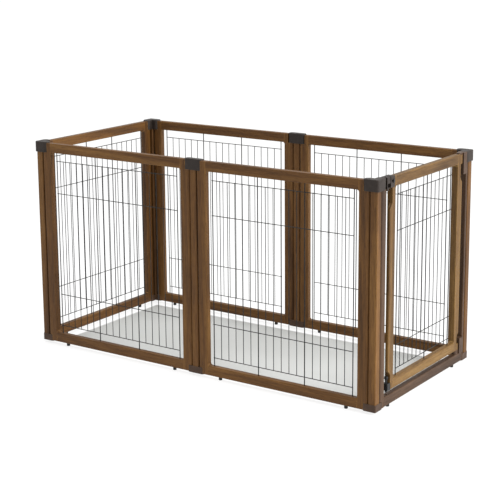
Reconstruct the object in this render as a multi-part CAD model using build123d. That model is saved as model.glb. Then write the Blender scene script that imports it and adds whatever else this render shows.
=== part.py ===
from build123d import *
import os

# Folding pet playpen: six wood-framed wire panels joined by six double-pivot posts into a
# rectangle, one end being a gate. Millimetres, +Z up, +X to the gate end, -Y to the front.
# The origin is on the floor in the middle of the pen.

# Overall layout
FRAME_T = 22.0           # thickness of every wood frame
FRAME_LOW = 12.0         # underside of the frames, above the feet
FRAME_TOP = 800.0        # top of the rails
LONG_PANEL_W = 701.0     # each of the four front and rear panels
END_PANEL_W = 644.0      # the left end and the gate end
MID_POST_W = 27.0        # post between two long panels
CORNER_POST_W = 28.0     # square corner post
GROOVE = 2.5             # gap between a post and the stile beside it

# Wood frames
STILE_W = 40.0
RAIL_H = 36.0
INNER_CORNER_R = 8.0     # corners of the opening in a frame
END_R = 8.0              # rounded outer edges of a stile that pivots
EDGE_R = 2.5             # routed edges
POST_EDGE_R = 4.0

# Pivots and joint caps
PIVOT_INSET = 9.0        # from a stile's outer edge to its pivot axis
PIN_R = 4.0
PIN_BORE_R = 4.06
PIN_LENGTH = 22.0        # below or above the face of the cap
NOTCH_GAP = 0.6          # between a cap and the notch cut for it
TOP_CAP_LOW = 764.0
TOP_CAP_HIGH = 804.0
BOTTOM_CAP_LOW = 10.0
BOTTOM_CAP_HIGH = 36.0
MID_CAP_R = 13.0         # end radius of a middle cap, about its pivot
CORNER_CAP_R = 16.0      # end radius of a top corner cap
BOTTOM_CAP_R = 12.5      # end radius of a bottom cap
POST_LOW = 24.0          # the post's ends sit inside the caps
POST_HIGH = 784.0
CAP_EDGE_R = 3.0
BOTTOM_CAP_EDGE_R = 1.0
CORNER_CAP_CORNER_R = 9.0
BOTTOM_CORNER_R = 5.0

# Wire grids
LONG_WIRE_R = 1.8        # wires that run from rail to rail
SHORT_WIRE_R = 1.3
CROSS_WIRE_R = 1.4
WIRE_BITE = 0.6          # depth a cross wire is welded into the upright wires
WIRE_TAIL = 1.5          # length of a wire past the last weld
WIRE_IN_RAIL = 8.0       # depth of a long wire in its rail
CROSS_HEIGHTS = [80.0, 206.0, 606.0, 732.0]
LONG_GRID = {"count": 19, "pitch": 32.0, "long": [0, 6, 12, 18]}
END_GRID = {"count": 18, "pitch": 31.4, "long": [0, 6, 11, 17]}
DOOR_GRID = {"count": 14, "pitch": 30.5, "long": [0, 7, 13]}
DOOR_CROSS_HEIGHTS = [122.0, 206.0, 606.0, 732.0]

# Feet
FOOT_R = 6.5
FOOT_EDGE_R = 2.0
FOOT_INSET = 88.0        # from a panel's end to the foot's axis
GATE_FOOT_INSET = 76.0

# Gate frame
LATCH_UPRIGHT_W = 30.5
HINGE_UPRIGHT_W = 17.0
THRESHOLD_TOP = 46.0
GATE_STILE_TOP = 764.0
GATE_INNER_R = 3.0

# Door, in the gate's own frame: U runs along the gate from the latch side to the hinge side
DOOR_LATCH_U = -266.5
DOOR_HINGE_U = 275.0
DOOR_LOW = 62.0
DOOR_STILE_W = 38.0
DOOR_RAIL_TOP = 96.0     # top face of the door's bottom rail
DOOR_END_R = 4.0
LIP_W = 20.0             # the latch stile's outer lip, beside its full thickness
LIP_T = 10.0
HINGE_U = 264.0
HINGE_PIN_R = 3.0
HINGE_BORE_R = 3.05
RELIEF_DEPTH = 16.0      # hand relief cut in the latch side of the door
HINGE_RELIEF_DEPTH = 16.0
TOP_RELIEF = (764.0, 719.0, 685.0)       # square step, end of the straight part, end of the sweep
BOTTOM_RELIEF = (86.0, 111.0, 138.0)

# Latch: a keeper on the gate's upright, and a bolt in a housing on the door
HARDWARE_TOP = 803.0
HARDWARE_T = 26.0
LATCH_HOUSING_U = -240.5
LATCH_Z = 786.0
LATCH_R = 4.0
LATCH_BORE_R = 4.1
LATCH_BORE_L = 24.0
LATCH_LENGTH = 22.0
LATCH_TRAVEL = 10.0
SOCKET_GAP = 0.4         # round a bolt in the hole that it enters
SOCKET_L = 16.0
KEEPER_LOW = 757.0
KEEPER_W = 10.0
KEEPER_NOSE_U = -270.5
KEEPER_NOSE_LOW = 764.0
WINDOW_LOW = 766.0       # the slot behind the latch, through keeper and housing
WINDOW_HIGH = 781.0
WINDOW_WALL = 2.5        # left at the slot's two ends
WINDOW_FRONT_Y = -5.0    # the housing is whole in front of this
PLATE_T = 2.0
PLATE_W = 14.0
PLATE_LOW = 716.0
NECK_INSET = 18.0        # from the housing's edge to the neck that joins bolt and thumb piece
NECK_W = 4.0
NECK_H = 5.0
NECK_GAP = 0.2
THUMB_W = 8.0
THUMB_H = 12.0
THUMB_T = 2.7
THUMB_GAP = 0.3          # between the thumb piece and the housing

# Drop bolt at the door's foot
DROP_U = -258.0
DROP_LOW = 54.0
DROP_SOCKET_DEPTH = 12.0
DROP_HOUSING_W = 20.0
DROP_HOUSING_T = 20.0
DROP_KNOB_LOW = 100.0
DROP_KNOB_H = 10.0
DROP_KNOB_R = 7.0
DROP_KNOB_EDGE_R = 1.5

# Hinge brackets and pins
ARM_LOW = 797.0
ARM_R = 9.0
ARM_GAP = 0.5            # between an arm and the door
BRACKET_U = 279.5
BRACKET_FAR_U = 311.0
BRACKET_T = 27.0
TOP_BRACKET_LOW = 723.0
BOTTOM_BRACKET_TOP = 104.0
TOP_BORE_RISE = 3.0      # from the rail's underside to the top bore's end
PIN_END_GAP = 2.0        # past a pin's end in its bore
PIN_RECESS = 1.0

# Worked out from the above
LENGTH = 2 * (LONG_PANEL_W + CORNER_POST_W) + MID_POST_W + 4 * GROOVE
DEPTH = END_PANEL_W + 2 * (CORNER_POST_W + GROOVE)
LONG_CENTRE_X = MID_POST_W / 2 + GROOVE + LONG_PANEL_W / 2
FRONT_Y = -DEPTH / 2 + FRAME_T / 2
END_X = LENGTH / 2 - FRAME_T / 2
RAIL_LOW = FRAME_LOW + RAIL_H            # top face of a bottom rail
RAIL_HIGH = FRAME_TOP - RAIL_H           # underside of a top rail
MID_PIVOT = MID_POST_W / 2 + GROOVE + PIVOT_INSET
CORNER_PIVOT = CORNER_POST_W + GROOVE + PIVOT_INSET
LATCH_UPRIGHT_U = LATCH_UPRIGHT_W - END_PANEL_W / 2      # inner faces of the gate's uprights
HINGE_UPRIGHT_U = END_PANEL_W / 2 - HINGE_UPRIGHT_W
GATE_PIVOT_U = END_PANEL_W / 2 - PIVOT_INSET
BIG = 60.0                               # reach of a cutter past the wood
OVER = 1.0                               # how far a cutter or a joined solid runs on

NODES = {}


def block(x0, x1, y0, y1, z0, z1):
    """A box from its lowest to its highest corner."""
    return Pos((x0 + x1) / 2, (y0 + y1) / 2, (z0 + z1) / 2) * Box(x1 - x0, y1 - y0, z1 - z0)


def rod(x, y, z0, z1, radius):
    """An upright cylinder."""
    return Pos(x, y, (z0 + z1) / 2) * Cylinder(radius, z1 - z0)


def add(name, shape, place=Location()):
    """Keep a finished sub-part, moved from its own frame into the pen's."""
    solids = (place * shape).solids()
    NODES[name] = solids[0] if len(solids) == 1 else Compound(children=list(solids))


def frame_blank(width, low, stile_w, open_low, end_r):
    """A slab with rounded ends and a routed opening, before it is cut into stiles and rails."""
    slab = extrude(Pos(0, 0, low) * RectangleRounded(width, FRAME_T, end_r), FRAME_TOP - low)
    faces = slab.faces().sort_by(Axis.Z)
    slab = fillet(faces[0].edges() + faces[-1].edges(), EDGE_R)
    half = width / 2 - stile_w
    window = RectangleRounded(2 * half, RAIL_HIGH - open_low, INNER_CORNER_R)
    middle = (RAIL_HIGH + open_low) / 2
    slab -= extrude(Pos(0, 0, middle) * (Plane.XZ * window), FRAME_T, both=True)

    def rims_opening(edge):
        c = edge.center()
        on_face = abs(abs(c.Y) - FRAME_T / 2) < 0.01
        return on_face and abs(c.X) < half + 0.01 and open_low - 0.01 < c.Z < RAIL_HIGH + 0.01

    return fillet(slab.edges().filter_by(rims_opening), EDGE_R)


def cap_notch(u, radius, low, high, folds_flat):
    """Room for a cap's round end, and for its straight part where two panels fold flat."""
    notch = rod(u, 0, low, high, radius + NOTCH_GAP)
    if folds_flat:
        reach = radius + 2 * NOTCH_GAP
        notch += block(u - reach, u + reach, 0, FRAME_T, low, high)
    return notch


def pivot_cuts(u, top_cap_r):
    """Notches for the joint caps at a stile's top and foot, with the bores for their pins."""
    low_face = BOTTOM_CAP_HIGH + NOTCH_GAP
    high_face = TOP_CAP_LOW - NOTCH_GAP
    folds_flat = top_cap_r == MID_CAP_R
    cuts = cap_notch(u, BOTTOM_CAP_R, low_face - BIG, low_face, folds_flat)
    cuts += cap_notch(u, top_cap_r, high_face, high_face + BIG, folds_flat)
    cuts += rod(u, 0, low_face, BOTTOM_CAP_HIGH + PIN_LENGTH + OVER, PIN_BORE_R)
    cuts += rod(u, 0, TOP_CAP_LOW - PIN_LENGTH - OVER, high_face, PIN_BORE_R)
    return cuts


def wire_places(grid):
    """Position and reach of each upright wire: (u, runs from rail to rail)."""
    first = -(grid["count"] - 1) * grid["pitch"] / 2
    return [(first + i * grid["pitch"], i in grid["long"]) for i in range(grid["count"])]


def wire_grid(grid, heights, rail_low):
    """Upright wires welded to four cross wires on the outer side."""
    wires = []
    places = wire_places(grid)
    for u, runs_through in places:
        if runs_through:
            wires.append(rod(u, 0, rail_low - WIRE_IN_RAIL, RAIL_HIGH + WIRE_IN_RAIL, LONG_WIRE_R))
        else:
            wires.append(rod(u, 0, heights[0] - WIRE_TAIL, heights[-1] + WIRE_TAIL, SHORT_WIRE_R))
    cross_y = -(SHORT_WIRE_R + CROSS_WIRE_R - WIRE_BITE)
    span = places[-1][0] - places[0][0] + 2 * WIRE_TAIL
    for z in heights:
        wires.append(Pos(0, cross_y, z) * Rot(0, 90, 0) * Cylinder(CROSS_WIRE_R, span))
    return wires[0].fuse(*wires[1:])


def wire_holes(grid, rail_low):
    """Blind holes in both rails for the long wires."""
    z0, z1 = rail_low - WIRE_IN_RAIL, RAIL_HIGH + WIRE_IN_RAIL
    holes = [rod(u, 0, z0, z1, LONG_WIRE_R) for u, runs_through in wire_places(grid) if runs_through]
    return holes[0].fuse(*holes[1:])


def foot(u):
    """A round rubber foot under a bottom rail."""
    body = rod(u, 0, 0, FRAME_LOW, FOOT_R)
    return fillet(body.edges().sort_by(Axis.Z)[:1], FOOT_EDGE_R)


def feet(width, inset):
    return Compound(children=[foot(-width / 2 + inset), foot(width / 2 - inset)])


def panel(name, width, grid, left_cap_r, right_cap_r, place):
    """A framed wire panel: two stiles, two rails, the welded grid and two feet."""
    blank = frame_blank(width, FRAME_LOW, STILE_W, RAIL_LOW, END_R)
    edge = width / 2 - STILE_W
    pivot = width / 2 - PIVOT_INSET
    stile = blank & block(-width / 2 - OVER, -edge, -FRAME_T, FRAME_T, 0, FRAME_TOP + OVER)
    left = stile - pivot_cuts(-pivot, left_cap_r)
    right = mirror((stile - pivot_cuts(-pivot, right_cap_r)).solid(), Plane.YZ)
    holes = wire_holes(grid, RAIL_LOW)
    middle = (RAIL_LOW + RAIL_HIGH) / 2
    lower = (blank & block(-edge, edge, -FRAME_T, FRAME_T, 0, middle)) - holes
    upper = (blank & block(-edge, edge, -FRAME_T, FRAME_T, middle, FRAME_TOP + OVER)) - holes
    add(name + "_stiles", Compound(children=[left.solid(), right]), place)
    add(name + "_bottom_rail", lower, place)
    add(name + "_top_rail", upper, place)
    add(name + "_grid", wire_grid(grid, CROSS_HEIGHTS, RAIL_LOW), place)
    add(name + "_feet", feet(width, FOOT_INSET), place)


def pins(points, z0, z1):
    pair = [rod(x, y, z0, z1, PIN_R) for x, y in points]
    return pair[0] + pair[1]


def cap(outline, low, high, top_r, post, pivots, pins_down):
    """A moulded joint cap: hood over the post's end, with a pivot pin for each neighbour."""
    body = extrude(Pos(0, 0, low) * outline, high - low)
    ends = body.faces().sort_by(Axis.Z)
    outer = ends[-1] if pins_down else ends[0]
    body = fillet(outer.edges(), top_r)
    body -= post
    if pins_down:
        return body + pins(pivots, low - PIN_LENGTH, low + PIN_R)
    return body + pins(pivots, high - PIN_R, high + PIN_LENGTH)


def middle_joint(name, place):
    """The double pivot between two long panels: a straight post and its two caps."""
    outline = extrude(Pos(0, 0, POST_LOW) * RectangleRounded(MID_POST_W, FRAME_T, POST_EDGE_R),
                      POST_HIGH - POST_LOW)
    pivots = [(-MID_PIVOT, 0), (MID_PIVOT, 0)]
    top = SlotCenterToCenter(2 * MID_PIVOT, 2 * MID_CAP_R)
    bottom = SlotCenterToCenter(2 * MID_PIVOT, 2 * BOTTOM_CAP_R)
    add(name + "_post", outline, place)
    add(name + "_top_cap",
        cap(top, TOP_CAP_LOW, TOP_CAP_HIGH, CAP_EDGE_R, outline, pivots, True), place)
    add(name + "_bottom_cap",
        cap(bottom, BOTTOM_CAP_LOW, BOTTOM_CAP_HIGH, BOTTOM_CAP_EDGE_R, outline, pivots, False), place)


def corner_outline(radius, corner_r):
    """An L in plan: one leg over each neighbouring stile, each ending round its pivot."""
    centre = FRAME_T / 2
    low = centre - radius
    legs = Pos((low + CORNER_PIVOT) / 2, centre) * Rectangle(CORNER_PIVOT - low, 2 * radius)
    legs += Pos(centre, (low + CORNER_PIVOT) / 2) * Rectangle(2 * radius, CORNER_PIVOT - low)
    legs += Pos(CORNER_PIVOT, centre) * Circle(radius)
    legs += Pos(centre, CORNER_PIVOT) * Circle(radius)
    outer = [v for v in legs.vertices() if v.X < low + 0.01 and v.Y < low + 0.01]
    return fillet(outer, corner_r)


def corner_joint(name, place):
    """The double pivot at a corner: a square post and two L-shaped caps."""
    half = CORNER_POST_W / 2
    plan = Pos(half, half) * RectangleRounded(CORNER_POST_W, CORNER_POST_W, POST_EDGE_R)
    post = extrude(Pos(0, 0, POST_LOW) * plan, POST_HIGH - POST_LOW)
    pivots = [(CORNER_PIVOT, FRAME_T / 2), (FRAME_T / 2, CORNER_PIVOT)]
    top = corner_outline(CORNER_CAP_R, CORNER_CAP_CORNER_R)
    bottom = corner_outline(BOTTOM_CAP_R, BOTTOM_CORNER_R)
    add(name + "_post", post, place)
    add(name + "_top_cap",
        cap(top, TOP_CAP_LOW, TOP_CAP_HIGH, CAP_EDGE_R, post, pivots, True), place)
    add(name + "_bottom_cap",
        cap(bottom, BOTTOM_CAP_LOW, BOTTOM_CAP_HIGH, BOTTOM_CAP_EDGE_R, post, pivots, False), place)


def gate_stile(width):
    """An upright of the gate frame, on the hinge side."""
    plan = Rectangle(width, FRAME_T)
    outer = plan.vertices().sort_by(Axis.X)[2:]
    plan = fillet(outer, END_R)
    inner = plan.vertices().sort_by(Axis.X)[:2]
    plan = fillet(inner, GATE_INNER_R)
    centre = (END_PANEL_W - width) / 2
    stile = extrude(Pos(centre, 0, FRAME_LOW) * plan, GATE_STILE_TOP - FRAME_LOW)
    return (stile - pivot_cuts(GATE_PIVOT_U, CORNER_CAP_R)).solid()


def gate_frame(place):
    """Two uprights and a threshold; the door's own top rail closes the top."""
    hinge_side = gate_stile(HINGE_UPRIGHT_W)
    latch_side = mirror(gate_stile(LATCH_UPRIGHT_W), Plane.YZ)
    sill = block(LATCH_UPRIGHT_U, HINGE_UPRIGHT_U, -FRAME_T / 2, FRAME_T / 2,
                 FRAME_LOW, THRESHOLD_TOP)
    sill = fillet(sill.edges().filter_by(Axis.X), EDGE_R)
    sill -= pivot_cuts(GATE_PIVOT_U, CORNER_CAP_R)
    sill -= rod(DROP_U, 0, THRESHOLD_TOP - DROP_SOCKET_DEPTH, THRESHOLD_TOP + OVER,
                LATCH_R + SOCKET_GAP)
    add("gate_stiles", Compound(children=[latch_side, hinge_side]), place)
    add("gate_threshold", sill, place)
    add("gate_feet", feet(END_PANEL_W, GATE_FOOT_INSET), place)


def relief(edge_u, inward, depth, heights):
    """Cutter for a hand relief: a square step, a straight part and a swept run-out."""
    step, straight, end = heights
    out_u = edge_u - inward * BIG
    deep_u = edge_u + inward * depth
    bend = (straight + end) / 2
    outline = Polyline((out_u, step), (deep_u, step), (deep_u, straight))
    outline += Bezier((deep_u, straight), (deep_u, bend), (edge_u, bend), (edge_u, end))
    outline += Polyline((edge_u, end), (out_u, end), (out_u, step))
    return extrude(Plane.XZ * make_face(outline.edges()), FRAME_T, both=True)


def door(place):
    """The swinging wire door: two stiles with hand reliefs, two rails and the welded grid."""
    width = DOOR_HINGE_U - DOOR_LATCH_U
    centre = (DOOR_HINGE_U + DOOR_LATCH_U) / 2
    shift = Pos(centre, 0, 0)
    blank = shift * frame_blank(width, DOOR_LOW, DOOR_STILE_W, DOOR_RAIL_TOP, DOOR_END_R)
    latch_edge = DOOR_LATCH_U + DOOR_STILE_W
    hinge_edge = DOOR_HINGE_U - DOOR_STILE_W
    top = FRAME_TOP + OVER
    foot_top = BOTTOM_RELIEF[0]
    left = blank & block(DOOR_LATCH_U - OVER, latch_edge, -FRAME_T, FRAME_T, 0, top)
    right = blank & block(hinge_edge, DOOR_HINGE_U + OVER, -FRAME_T, FRAME_T, 0, top)
    for heights in (TOP_RELIEF, BOTTOM_RELIEF):
        left -= relief(DOOR_LATCH_U, 1, RELIEF_DEPTH, heights)
        right -= relief(DOOR_HINGE_U, -1, HINGE_RELIEF_DEPTH, heights)
    left -= block(DOOR_LATCH_U - OVER, DOOR_LATCH_U + LIP_W, LIP_T - FRAME_T / 2, FRAME_T,
                  foot_top, RAIL_HIGH)
    left -= block(DOOR_LATCH_U - OVER, LATCH_HOUSING_U, -FRAME_T, FRAME_T, RAIL_HIGH, top)
    left -= block(DOOR_LATCH_U - OVER, DOOR_LATCH_U + DROP_HOUSING_W, -FRAME_T, FRAME_T,
                  DOOR_LOW - OVER, foot_top)
    right -= block(HINGE_U - ARM_R - OVER, DOOR_HINGE_U + OVER, -FRAME_T, FRAME_T,
                   ARM_LOW - ARM_GAP, top)
    right -= rod(HINGE_U, 0, RAIL_HIGH + TOP_BORE_RISE, top, HINGE_BORE_R)
    right -= rod(HINGE_U, 0, DOOR_LOW - OVER, foot_top - OVER, HINGE_BORE_R)
    holes = shift * wire_holes(DOOR_GRID, DOOR_RAIL_TOP)
    middle = (DOOR_RAIL_TOP + RAIL_HIGH) / 2
    lower = (blank & block(latch_edge, hinge_edge, -FRAME_T, FRAME_T, 0, middle)) - holes
    upper = (blank & block(latch_edge, hinge_edge, -FRAME_T, FRAME_T, middle, top)) - holes
    add("door_latch_stile", left, place)
    add("door_hinge_stile", right, place)
    add("door_bottom_rail", lower, place)
    add("door_top_rail", upper, place)
    add("door_grid", shift * wire_grid(DOOR_GRID, DOOR_CROSS_HEIGHTS, DOOR_RAIL_TOP), place)


def along_gate(u, z, radius, length):
    """A cylinder that lies along the gate, centred on u."""
    return Pos(u, 0, z) * Rot(0, 90, 0) * Cylinder(radius, length)


def latch(place):
    """Keeper on the gate frame, strike plate, housing on the door and the sliding bolt."""
    half = HARDWARE_T / 2
    keeper_u = LATCH_UPRIGHT_U + KEEPER_W
    keeper = block(LATCH_UPRIGHT_U, keeper_u, -half, half, KEEPER_LOW, HARDWARE_TOP)
    keeper += block(LATCH_UPRIGHT_U, KEEPER_NOSE_U, -half, half, KEEPER_NOSE_LOW, HARDWARE_TOP)
    keeper = fillet(keeper.faces().sort_by(Axis.Z)[-1].edges(), EDGE_R)
    keeper -= along_gate(KEEPER_NOSE_U, LATCH_Z, LATCH_R + SOCKET_GAP, SOCKET_L)
    keeper -= block(LATCH_UPRIGHT_U + WINDOW_WALL, KEEPER_NOSE_U + OVER, -BIG, BIG,
                    WINDOW_LOW, WINDOW_HIGH)
    plate = block(LATCH_UPRIGHT_U, LATCH_UPRIGHT_U + PLATE_T, -PLATE_W / 2, PLATE_W / 2,
                  PLATE_LOW, KEEPER_LOW)

    housing = block(DOOR_LATCH_U, LATCH_HOUSING_U, -half, half, RAIL_HIGH, HARDWARE_TOP)
    housing = fillet(housing.faces().sort_by(Axis.Z)[-1].edges(), EDGE_R)
    housing -= along_gate(DOOR_LATCH_U + LATCH_BORE_L / 2, LATCH_Z, LATCH_BORE_R, LATCH_BORE_L)
    housing -= block(DOOR_LATCH_U - OVER, LATCH_HOUSING_U - WINDOW_WALL, WINDOW_FRONT_Y, BIG,
                     WINDOW_LOW, WINDOW_HIGH)
    neck_u = DOOR_LATCH_U + NECK_INSET
    slot_end = NECK_W / 2 + NECK_GAP
    slot_side = NECK_H / 2 + NECK_GAP
    housing -= block(neck_u - slot_end - LATCH_TRAVEL, neck_u + slot_end, -half - OVER, 0,
                     LATCH_Z - slot_side, LATCH_Z + slot_side)

    thumb_y = -half - THUMB_GAP
    bolt = along_gate(DOOR_LATCH_U + LATCH_LENGTH / 2, LATCH_Z, LATCH_R, LATCH_LENGTH)
    bolt += block(neck_u - NECK_W / 2, neck_u + NECK_W / 2, thumb_y, 0,
                  LATCH_Z - NECK_H / 2, LATCH_Z + NECK_H / 2)
    bolt += block(neck_u - THUMB_W / 2, neck_u + THUMB_W / 2, thumb_y - THUMB_T, thumb_y,
                  LATCH_Z - THUMB_H / 2, LATCH_Z + THUMB_H / 2)
    add("gate_keeper", keeper, place)
    add("strike_plate", plate, place)
    add("latch_housing", housing, place)
    add("latch_bolt", bolt, place)


def drop_bolt(place):
    """The housing at the door's foot and the bolt that drops into the threshold."""
    half = DROP_HOUSING_T / 2
    foot_top = BOTTOM_RELIEF[0]
    housing = block(DOOR_LATCH_U, DOOR_LATCH_U + DROP_HOUSING_W, -half, half, DOOR_LOW, foot_top)
    housing = fillet(housing.edges().filter_by(Axis.Z).sort_by(Axis.X)[:2], EDGE_R)
    housing -= rod(DROP_U, 0, DOOR_LOW - OVER, foot_top + OVER, LATCH_BORE_R)
    bolt = rod(DROP_U, 0, DROP_LOW, DROP_KNOB_LOW + OVER, LATCH_R)
    knob = rod(DROP_U, 0, DROP_KNOB_LOW, DROP_KNOB_LOW + DROP_KNOB_H, DROP_KNOB_R)
    bolt += fillet(knob.edges(), DROP_KNOB_EDGE_R)
    add("drop_bolt_housing", housing, place)
    add("drop_bolt", bolt, place)


def hinge(place):
    """Two brackets on the gate's hinge stile and the steel pins that the door turns on."""
    half = BRACKET_T / 2
    stile = gate_stile(HINGE_UPRIGHT_W)
    joined = BRACKET_U + OVER
    pin_hole = rod(HINGE_U, 0, 0, FRAME_TOP + BIG, HINGE_PIN_R)

    upper = block(BRACKET_U, BRACKET_FAR_U, -half, half, TOP_BRACKET_LOW, HARDWARE_TOP)
    upper += block(HINGE_U, joined, -ARM_R, ARM_R, ARM_LOW, HARDWARE_TOP)
    upper += rod(HINGE_U, 0, ARM_LOW, HARDWARE_TOP, ARM_R)
    upper -= pivot_cuts(GATE_PIVOT_U, CORNER_CAP_R)
    upper -= stile
    upper -= pin_hole

    arm_top = DOOR_LOW - ARM_GAP
    lower = block(BRACKET_U, BRACKET_FAR_U, -half, half, THRESHOLD_TOP, BOTTOM_BRACKET_TOP)
    lower += block(HINGE_U, joined, -ARM_R, ARM_R, THRESHOLD_TOP, arm_top)
    lower += rod(HINGE_U, 0, THRESHOLD_TOP, arm_top, ARM_R)
    lower -= pivot_cuts(GATE_PIVOT_U, CORNER_CAP_R)
    lower -= stile
    lower -= pin_hole

    pin_low = RAIL_HIGH + TOP_BORE_RISE + PIN_END_GAP
    pin_high = BOTTOM_RELIEF[0] - OVER - PIN_END_GAP
    top_pin = rod(HINGE_U, 0, pin_low, HARDWARE_TOP - PIN_RECESS, HINGE_PIN_R)
    bottom_pin = rod(HINGE_U, 0, THRESHOLD_TOP, pin_high, HINGE_PIN_R)
    add("top_hinge_bracket", upper, place)
    add("bottom_hinge_bracket", lower, place)
    add("hinge_pins", Compound(children=[top_pin.solid(), bottom_pin.solid()]), place)


def build():
    front = Location((0, FRONT_Y, 0), (0, 0, 0))
    rear = Location((0, -FRONT_Y, 0), (0, 0, 180))
    to_left = Pos(-LONG_CENTRE_X, 0, 0)
    to_right = Pos(LONG_CENTRE_X, 0, 0)
    long_panels = {
        "front_left": (front * to_left, CORNER_CAP_R, MID_CAP_R),
        "front_right": (front * to_right, MID_CAP_R, CORNER_CAP_R),
        "rear_left": (rear * to_right, MID_CAP_R, CORNER_CAP_R),
        "rear_right": (rear * to_left, CORNER_CAP_R, MID_CAP_R),
    }
    for name, (place, left_r, right_r) in long_panels.items():
        panel(name, LONG_PANEL_W, LONG_GRID, left_r, right_r, place)
    panel("left_end", END_PANEL_W, END_GRID, CORNER_CAP_R, CORNER_CAP_R,
          Location((-END_X, 0, 0), (0, 0, -90)))

    middle_joint("front_mid", front)
    middle_joint("rear_mid", rear)
    corner_joint("front_left_corner", Location((-LENGTH / 2, -DEPTH / 2, 0), (0, 0, 0)))
    corner_joint("front_right_corner", Location((LENGTH / 2, -DEPTH / 2, 0), (0, 0, 90)))
    corner_joint("rear_right_corner", Location((LENGTH / 2, DEPTH / 2, 0), (0, 0, 180)))
    corner_joint("rear_left_corner", Location((-LENGTH / 2, DEPTH / 2, 0), (0, 0, 270)))

    gate = Location((END_X, 0, 0), (0, 0, 90))
    gate_frame(gate)
    door(gate)
    latch(gate)
    drop_bolt(gate)
    hinge(gate)


build()
os.makedirs("parts", exist_ok=True)
for node_name, node in NODES.items():
    export_step(node, "parts/" + node_name + ".step")
print(len(NODES), "nodes; wood outline", LENGTH, "x", DEPTH)
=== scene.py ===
import math

import bpy
from mathutils import Matrix, Vector

# Looks of the folding pet playpen, around its CAD frame. Metres, +Z up, +X to the gate end,
# -Y to the front. Every visible piece is a CAD node with a procedural material.

WHITE = (1.0, 1.0, 1.0, 1.0)

# Camera: place, heading round Z from +Y, tilt below the horizon, and roll, in degrees
CAMERA_AT = (2.820, -4.094, 1.624)
CAMERA_HEADING = 34.52
CAMERA_TILT = 11.71
CAMERA_ROLL = -0.41
CAMERA_LENS = 96.8
CAMERA_SENSOR = 36.0
CAMERA_SHIFT_Y = -0.1
CAMERA_REACH = 200.0

# Studio
WORLD_STRENGTH = 1.0
KEY_WATTS = 345.0
KEY_SIZE = 3.0
KEY_FROM = (4.6, 0.6, 2.6)
KEY_AIM = (0.0, 0.0, 0.4)     # about half the height of the pen
TOP_WATTS = 60.0
TOP_SIZE = 4.0
TOP_HEIGHT = 4.0

# Floor: a large disc, with painted shade inside the pen, a pale grey area with no glow that ends in
# a soft edge
FLOOR_RADIUS = 60.0
FLOOR_SIDES = 64
FLOOR_GLOW = 0.80             # keeps the far floor as pale as the background
FLOOR_ROUGH = 0.9
FLOOR_SHINE = 0.1
SHADE_HALF = (0.690, 0.295)     # half the length and half the depth of the painted shade area
SHADE_EDGE = 0.012
OUTSIDE_RAMP = [(0.3, (0.200, 0.200, 0.199)), (0.7, (0.230, 0.230, 0.229))]
INSIDE_SHADE_RAMP = [(0.3, (0.445, 0.450, 0.438)), (0.7, (0.475, 0.480, 0.468))]

# Noise layers: scale, detail, roughness and distortion
WOOD_FIGURE = (26.0, 4.0, 0.55, 0.8)
WOOD_FIBRE = (230.0, 3.0, 0.60, 0.3)
WOOD_PORES = (900.0, 2.0, 0.50, 0.0)
WOOD_BOARDS = (1.7, 2.0, 0.50, 0.0)
WOOD_SCUFF_HIGHLIGHT = (60.0, 4.0, 0.65, 0.0)
PLASTIC_SKIN = (1400.0, 2.0, 0.50, 0.0)
PLASTIC_BLOTCH = (38.0, 3.0, 0.50, 0.0)
WIRE_PEEL = (800.0, 2.0, 0.50, 0.0)
WIRE_RUBBED = (14.0, 4.0, 0.60, 0.0)
STEEL_LINES = (1500.0, 3.0, 0.50, 0.0)
FLOOR_MOTTLE = (2.2, 3.0, 0.50, 0.0)

# Wood: linear colours of the grain, dark, middle and light, and where each lies in the figure
WOOD_TONES = {
    "brown": ((0.051, 0.021, 0.004), (0.112, 0.049, 0.010), (0.176, 0.087, 0.021)),
    "golden": ((0.066, 0.033, 0.008), (0.134, 0.071, 0.018), (0.194, 0.114, 0.034)),
    "dusky": ((0.028, 0.014, 0.007), (0.056, 0.029, 0.014), (0.084, 0.046, 0.024)),
}
FIGURE_STOPS = (0.28, 0.50, 0.74)
ALONG_GRAIN = 0.055           # scale along the grain, which draws the pattern out about 18 times
STREAK_RAMP = [(0.30, (0.55, 0.50, 0.46)), (0.62, (1.08, 1.06, 1.04))]
STREAK_DEPTH = 0.75
PORE_RAMP = [(0.36, (0.45, 0.40, 0.36)), (0.46, (1.00, 1.00, 1.00))]
PORE_DEPTH = 0.55
BOARD_RAMP = [(0.35, (0.86, 0.84, 0.82)), (0.65, (1.12, 1.12, 1.10))]
BOARD_DEPTH = 1.0
WORN_HIGHLIGHT_LIFT = 1.7               # worn edges, which also carry a painted highlight, are the light colour, this much brighter
SCUFF_HIGHLIGHT_RANGE = (0.42, 0.62)
SCUFF_HIGHLIGHT_COVER = (0.10, 0.75)
WOOD_ROUGH = (0.58, 0.44)
WOOD_SHINE = 0.22

# Plastic, wire and steel
BLOTCH_SHADES = (0.78, 1.22)
BLOTCH_STOPS = (0.30, 0.70)
PLASTIC_ROUGH_SPREAD = 0.06
PLASTIC_SHINE = 0.25
WIRE_RAMP = [(0.40, (0.005, 0.005, 0.005)), (0.72, (0.018, 0.018, 0.017))]
WIRE_ROUGH = (0.46, 0.32)
WIRE_SHINE = 0.20
STEEL_RAMP = [(0.3, (0.34, 0.34, 0.33)), (0.7, (0.60, 0.60, 0.58))]
STEEL_ROUGH = (0.26, 0.44)
STEEL_BRUSHING = (1.0, 1.0, 0.04)

# The part of a noise's range that roughness follows
NOISE_SPREAD = (0.3, 0.7)
WIRE_SPREAD = (0.4, 0.7)

# Bumps: strength, and height in metres
WOOD_BUMP = (0.35, 0.0004)
PLASTIC_BUMP = (0.30, 0.0002)
WIRE_BUMP = (0.25, 0.0002)
STEEL_BUMP = (0.20, 0.0001)
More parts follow.
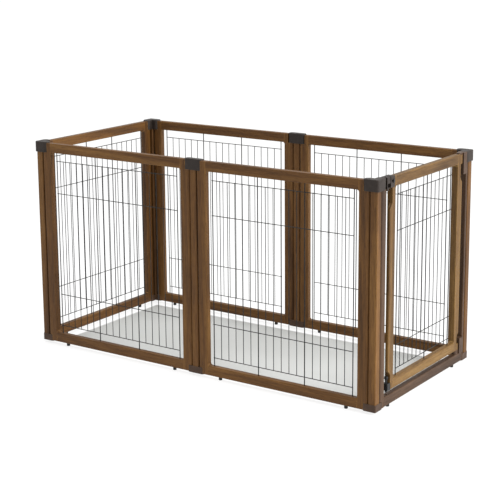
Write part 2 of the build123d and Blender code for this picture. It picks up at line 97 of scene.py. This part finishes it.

# Worn edges, which on wood also carry a painted highlight: the radius of the rounding, and the dot
# product of the rounded and the plain normal, on an edge fully worn and highlighted and on a face
# that counts as flat
WOOD_EDGE = 0.003
PLASTIC_EDGE = 0.002
EDGE_SAMPLES = 4
EDGE_FULL_DOT = 0.80
FLAT_DOT = 0.995

# Sockets of a Mix node in its colour mode
MIX_AMOUNT, MIX_A, MIX_B, MIX_RESULT = 0, 6, 7, 2

# Wood finishes: the tone of each family, and the axes that its grain can run along
WOOD_FAMILIES = {"wood": ("brown", "xyz"), "door": ("golden", "yz"), "gate": ("dusky", "yz")}

# Moulded finishes: colour, roughness, and the colour of rubbed edges
MOULDED = {
    "dark_plastic": ((0.019, 0.013, 0.010), 0.50, (0.042, 0.032, 0.026)),
    "brown_plastic": ((0.046, 0.024, 0.013), 0.50, (0.085, 0.050, 0.030)),
    "black_plastic": ((0.012, 0.012, 0.012), 0.40, (0.040, 0.040, 0.040)),
    "foot_rubber": ((0.020, 0.019, 0.018), 0.75, (0.035, 0.034, 0.032)),
}

# Finishes of the gate's and the door's own pieces
NAMED_FINISH = {
    "gate_keeper": "dark_plastic",
    "gate_stiles": "gate_z",
    "gate_threshold": "gate_y",
    "door_latch_stile": "door_z",
    "door_hinge_stile": "door_z",
    "door_top_rail": "door_y",
    "door_bottom_rail": "door_y",
    "latch_housing": "dark_plastic",
    "strike_plate": "steel",
    "hinge_pins": "steel",
    "latch_bolt": "black_plastic",
    "drop_bolt": "black_plastic",
    "drop_bolt_housing": "black_plastic",
    "top_hinge_bracket": "brown_plastic",
    "bottom_hinge_bracket": "brown_plastic",
}

# Finishes of the pieces that repeat, by the end of their names. Rails follow their panel.
SUFFIX_FINISH = {
    "_grid": "wire",
    "_feet": "foot_rubber",
    "_top_cap": "dark_plastic",
    "_bottom_cap": "brown_plastic",
    "_stiles": "wood_z",
    "_post": "wood_z",
}


# ---------------------------------------------------------------- node helpers

def set_inputs(tree, node, inputs):
    """Sets each input of a node to a value, or links a socket to it."""
    for key, value in inputs.items():
        if isinstance(value, bpy.types.NodeSocket):
            tree.links.new(value, node.inputs[key])
        else:
            node.inputs[key].default_value = value


def add_node(tree, kind, inputs=None, **settings):
    """A new node with its settings made and its inputs set or linked."""
    node = tree.nodes.new(kind)
    for key, value in settings.items():
        setattr(node, key, value)
    set_inputs(tree, node, inputs or {})
    return node


def new_material(name):
    """A material with one principled shader, its tree, the shader, and the rest position."""
    mat = bpy.data.materials.new(name)
    mat.use_nodes = True
    tree = mat.node_tree
    tree.nodes.clear()
    out = tree.nodes.new("ShaderNodeOutputMaterial")
    shader = tree.nodes.new("ShaderNodeBsdfPrincipled")
    tree.links.new(shader.outputs["BSDF"], out.inputs["Surface"])
    coord = add_node(tree, "ShaderNodeTexCoord").outputs["Object"]
    return mat, tree, shader, coord


def colour(rgb):
    return (rgb[0], rgb[1], rgb[2], 1.0)


def scaled(rgb, factor):
    return tuple(factor * part for part in rgb)


def ramp(tree, value, stops):
    """A colour ramp over value: stops are (position, rgb)."""
    node = add_node(tree, "ShaderNodeValToRGB", {"Fac": value})
    points = node.color_ramp.elements
    while len(points) < len(stops):
        points.new(0.5)
    for point, (place, rgb) in zip(points, stops):
        point.position = place
        point.color = colour(rgb)
    return node.outputs["Color"]


def noise(tree, vector, layer):
    """One of the noise layers, over vector."""
    scale, detail, roughness, distortion = layer
    node = add_node(tree, "ShaderNodeTexNoise", {
        "Vector": vector, "Scale": scale, "Detail": detail,
        "Roughness": roughness, "Distortion": distortion,
    })
    return node.outputs["Fac"]


def stretched(tree, vector, scale):
    return add_node(tree, "ShaderNodeMapping", {"Vector": vector, "Scale": scale}).outputs["Vector"]


def mix_colour(tree, amount, a, b, blend="MIX"):
    node = add_node(tree, "ShaderNodeMix", {MIX_AMOUNT: amount, MIX_A: a, MIX_B: b},
                    data_type="RGBA", blend_type=blend)
    return node.outputs[MIX_RESULT]


def product(tree, a, b):
    return add_node(tree, "ShaderNodeMath", {0: a, 1: b}, operation="MULTIPLY").outputs["Value"]


def remap(tree, value, source, target):
    """Value taken from the source range to the target range, and kept inside it."""
    node = add_node(tree, "ShaderNodeMapRange", {
        "Value": value, "From Min": source[0], "From Max": source[1],
        "To Min": target[0], "To Max": target[1],
    })
    return node.outputs["Result"]


def bump(tree, height, relief):
    """The normal of a surface with fine relief, which is (strength, height in metres)."""
    strength, distance = relief
    node = add_node(tree, "ShaderNodeBump", {
        "Height": height, "Strength": strength, "Distance": distance,
    })
    return node.outputs["Normal"]


def edge_mask(tree, radius):
    """1 on rounded edges, which are worn and on wood also take a painted highlight, and 0 on flat
    faces.
    """
    rounded = add_node(tree, "ShaderNodeBevel", {"Radius": radius}, samples=EDGE_SAMPLES)
    plain = add_node(tree, "ShaderNodeNewGeometry")
    dot = add_node(tree, "ShaderNodeVectorMath",
                   {0: rounded.outputs["Normal"], 1: plain.outputs["Normal"]},
                   operation="DOT_PRODUCT")
    return remap(tree, dot.outputs["Value"], (FLAT_DOT, EDGE_FULL_DOT), (0.0, 1.0))


# ---------------------------------------------------------------- materials

def wood(name, tone, axis):
    """Stained and lacquered wood in one tone, with its grain along one axis of the pen."""
    mat, tree, shader, coord = new_material(name)
    stretch = [1.0, 1.0, 1.0]
    stretch[axis] = ALONG_GRAIN
    place = stretched(tree, coord, stretch)
    figure = noise(tree, place, WOOD_FIGURE)
    fibre = noise(tree, place, WOOD_FIBRE)
    pores = noise(tree, place, WOOD_PORES)
    boards = noise(tree, coord, WOOD_BOARDS)

    base = ramp(tree, figure, list(zip(FIGURE_STOPS, WOOD_TONES[tone])))
    base = mix_colour(tree, STREAK_DEPTH, base, ramp(tree, fibre, STREAK_RAMP), "MULTIPLY")
    base = mix_colour(tree, PORE_DEPTH, base, ramp(tree, pores, PORE_RAMP), "MULTIPLY")
    base = mix_colour(tree, BOARD_DEPTH, base, ramp(tree, boards, BOARD_RAMP), "MULTIPLY")

    # Patches of lighter edges on the wood: part wear, part painted highlight on the rounded edges
    scuff_highlight_patches = remap(tree, noise(tree, coord, WOOD_SCUFF_HIGHLIGHT), SCUFF_HIGHLIGHT_RANGE, SCUFF_HIGHLIGHT_COVER)
    wear_and_highlight = product(tree, edge_mask(tree, WOOD_EDGE), scuff_highlight_patches)
    worn_highlight_wood = colour(scaled(WOOD_TONES[tone][-1], WORN_HIGHLIGHT_LIFT))
    set_inputs(tree, shader, {
        "Base Color": mix_colour(tree, wear_and_highlight, base, worn_highlight_wood),
        "Roughness": remap(tree, fibre, NOISE_SPREAD, WOOD_ROUGH),
        "Specular IOR Level": WOOD_SHINE,
        "Normal": bump(tree, fibre, WOOD_BUMP),
    })
    return mat


def moulded(name, rgb, rough, worn_rgb):
    """Moulded plastic or rubber: fine spark-eroded texture, faint blotches and rubbed edges."""
    mat, tree, shader, coord = new_material(name)
    skin = noise(tree, coord, PLASTIC_SKIN)
    blotch = noise(tree, coord, PLASTIC_BLOTCH)
    shades = [scaled(rgb, shade) for shade in BLOTCH_SHADES]
    base = ramp(tree, blotch, list(zip(BLOTCH_STOPS, shades)))
    rough_range = (rough + PLASTIC_ROUGH_SPREAD, rough - PLASTIC_ROUGH_SPREAD)
    set_inputs(tree, shader, {
        "Base Color": mix_colour(tree, edge_mask(tree, PLASTIC_EDGE), base, colour(worn_rgb)),
        "Roughness": remap(tree, blotch, NOISE_SPREAD, rough_range),
        "Specular IOR Level": PLASTIC_SHINE,
        "Normal": bump(tree, skin, PLASTIC_BUMP),
    })
    return mat


def coated_wire(name):
    """Steel wire under a dark baked coating, thin and brighter where it has been rubbed."""
    mat, tree, shader, coord = new_material(name)
    peel = noise(tree, coord, WIRE_PEEL)
    rubbed = noise(tree, coord, WIRE_RUBBED)
    set_inputs(tree, shader, {
        "Base Color": ramp(tree, rubbed, WIRE_RAMP),
        "Roughness": remap(tree, rubbed, WIRE_SPREAD, WIRE_ROUGH),
        "Specular IOR Level": WIRE_SHINE,
        "Normal": bump(tree, peel, WIRE_BUMP),
    })
    return mat


def brushed_steel(name):
    """Plain steel with fine upright brushing lines."""
    mat, tree, shader, coord = new_material(name)
    lines = noise(tree, stretched(tree, coord, STEEL_BRUSHING), STEEL_LINES)
    set_inputs(tree, shader, {
        "Base Color": ramp(tree, lines, STEEL_RAMP),
        "Metallic": 1.0,
        "Roughness": remap(tree, lines, NOISE_SPREAD, STEEL_ROUGH),
        "Normal": bump(tree, lines, STEEL_BUMP),
    })
    return mat


def painted_shade_area(tree, coord):
    """1 on the painted shade area inside the pen, and 0 outside it."""
    split = add_node(tree, "ShaderNodeSeparateXYZ", {"Vector": coord})
    masks = []
    for axis, half in zip(("X", "Y"), SHADE_HALF):
        away = add_node(tree, "ShaderNodeMath", {0: split.outputs[axis]}, operation="ABSOLUTE")
        masks.append(remap(tree, away.outputs["Value"], (half, half + SHADE_EDGE), (1.0, 0.0)))
    return product(tree, *masks)


def studio_floor(name):
    """Plain pale floor, greyer inside the pen as painted shade, and with a slight glow outside it.
    """
    mat, tree, shader, coord = new_material(name)
    mottle = noise(tree, coord, FLOOR_MOTTLE)
    inside = painted_shade_area(tree, coord)
    # Painted shade: inside the pen the floor is greyer and does not glow
    set_inputs(tree, shader, {
        "Base Color": mix_colour(tree, inside, ramp(tree, mottle, OUTSIDE_RAMP),
                                 ramp(tree, mottle, INSIDE_SHADE_RAMP)),
        "Emission Strength": remap(tree, inside, (0.0, 1.0), (FLOOR_GLOW, 0.0)),
        "Emission Color": WHITE,
        "Roughness": FLOOR_ROUGH,
        "Specular IOR Level": FLOOR_SHINE,
    })
    return mat


def make_finishes():
    """Every finish that a CAD node can take, by name."""
    finishes = {}
    for family, (tone, axes) in WOOD_FAMILIES.items():
        for axis in axes:
            finishes[f"{family}_{axis}"] = wood(f"{family}_grain_{axis}", tone, "xyz".index(axis))
    finishes["wire"] = coated_wire("wire_coating")
    for name, (rgb, rough, worn_rgb) in MOULDED.items():
        finishes[name] = moulded(name, rgb, rough, worn_rgb)
    finishes["steel"] = brushed_steel("steel")
    return finishes


def finish_of(name):
    """The finish a CAD node takes: its own, its kind's, or the one of a rail."""
    if name in NAMED_FINISH:
        return NAMED_FINISH[name]
    for suffix, finish in SUFFIX_FINISH.items():
        if name.endswith(suffix):
            return finish
    return "wood_y" if name.startswith("left_end") else "wood_x"


def paint(nodes, finishes):
    """Gives every CAD node its finish, in each material slot that it has."""
    for name, piece in nodes.items():
        material = finishes[finish_of(name)]
        if not piece.material_slots:
            piece.data.materials.append(material)
        for slot in piece.material_slots:
            slot.material = material


# ---------------------------------------------------------------- studio

def area_light(name, at, aim, watts, size):
    data = bpy.data.lights.new(name, "AREA")
    data.energy = watts
    data.shape = "SQUARE"
    data.size = size
    lamp = bpy.data.objects.new(name, data)
    bpy.context.scene.collection.objects.link(lamp)
    lamp.location = at
    lamp.rotation_euler = (Vector(aim) - Vector(at)).to_track_quat("-Z", "Y").to_euler()


def make_world():
    world = bpy.data.worlds.new("studio")
    world.use_nodes = True
    background = world.node_tree.nodes["Background"]
    background.inputs["Color"].default_value = WHITE
    background.inputs["Strength"].default_value = WORLD_STRENGTH
    bpy.context.scene.world = world


def make_floor():
    mesh = bpy.data.meshes.new("floor")
    turns = [2 * math.pi * i / FLOOR_SIDES for i in range(FLOOR_SIDES)]
    ring = [(FLOOR_RADIUS * math.cos(turn), FLOOR_RADIUS * math.sin(turn), 0.0) for turn in turns]
    mesh.from_pydata(ring, [], [list(range(FLOOR_SIDES))])
    floor = bpy.data.objects.new("floor", mesh)
    bpy.context.scene.collection.objects.link(floor)
    floor.data.materials.append(studio_floor("floor_paint"))


def make_studio():
    make_world()
    area_light("key_light", KEY_FROM, KEY_AIM, KEY_WATTS, KEY_SIZE)
    area_light("top_light", (0, 0, TOP_HEIGHT), (0, 0, 0), TOP_WATTS, TOP_SIZE)
    make_floor()


def make_camera():
    data = bpy.data.cameras.new("camera")
    data.sensor_width = CAMERA_SENSOR
    data.lens = CAMERA_LENS
    data.shift_y = CAMERA_SHIFT_Y
    data.clip_end = CAMERA_REACH
    camera = bpy.data.objects.new("camera", data)
    bpy.context.scene.collection.objects.link(camera)
    turn = Matrix.Rotation(math.radians(CAMERA_HEADING), 4, "Z")
    tilt = Matrix.Rotation(math.radians(90.0 - CAMERA_TILT), 4, "X")
    roll = Matrix.Rotation(math.radians(CAMERA_ROLL), 4, "Z")
    camera.matrix_world = Matrix.Translation(CAMERA_AT) @ turn @ tilt @ roll
    bpy.context.scene.camera = camera


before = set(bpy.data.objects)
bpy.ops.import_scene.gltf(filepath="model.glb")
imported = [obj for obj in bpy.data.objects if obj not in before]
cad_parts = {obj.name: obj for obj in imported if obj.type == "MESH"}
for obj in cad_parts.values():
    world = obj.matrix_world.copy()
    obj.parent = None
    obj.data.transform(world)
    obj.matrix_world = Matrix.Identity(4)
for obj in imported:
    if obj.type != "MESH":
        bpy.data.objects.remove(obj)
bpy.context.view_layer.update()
paint(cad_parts, make_finishes())
make_studio()
make_camera()
bpy.context.scene.view_settings.view_transform = "Standard"
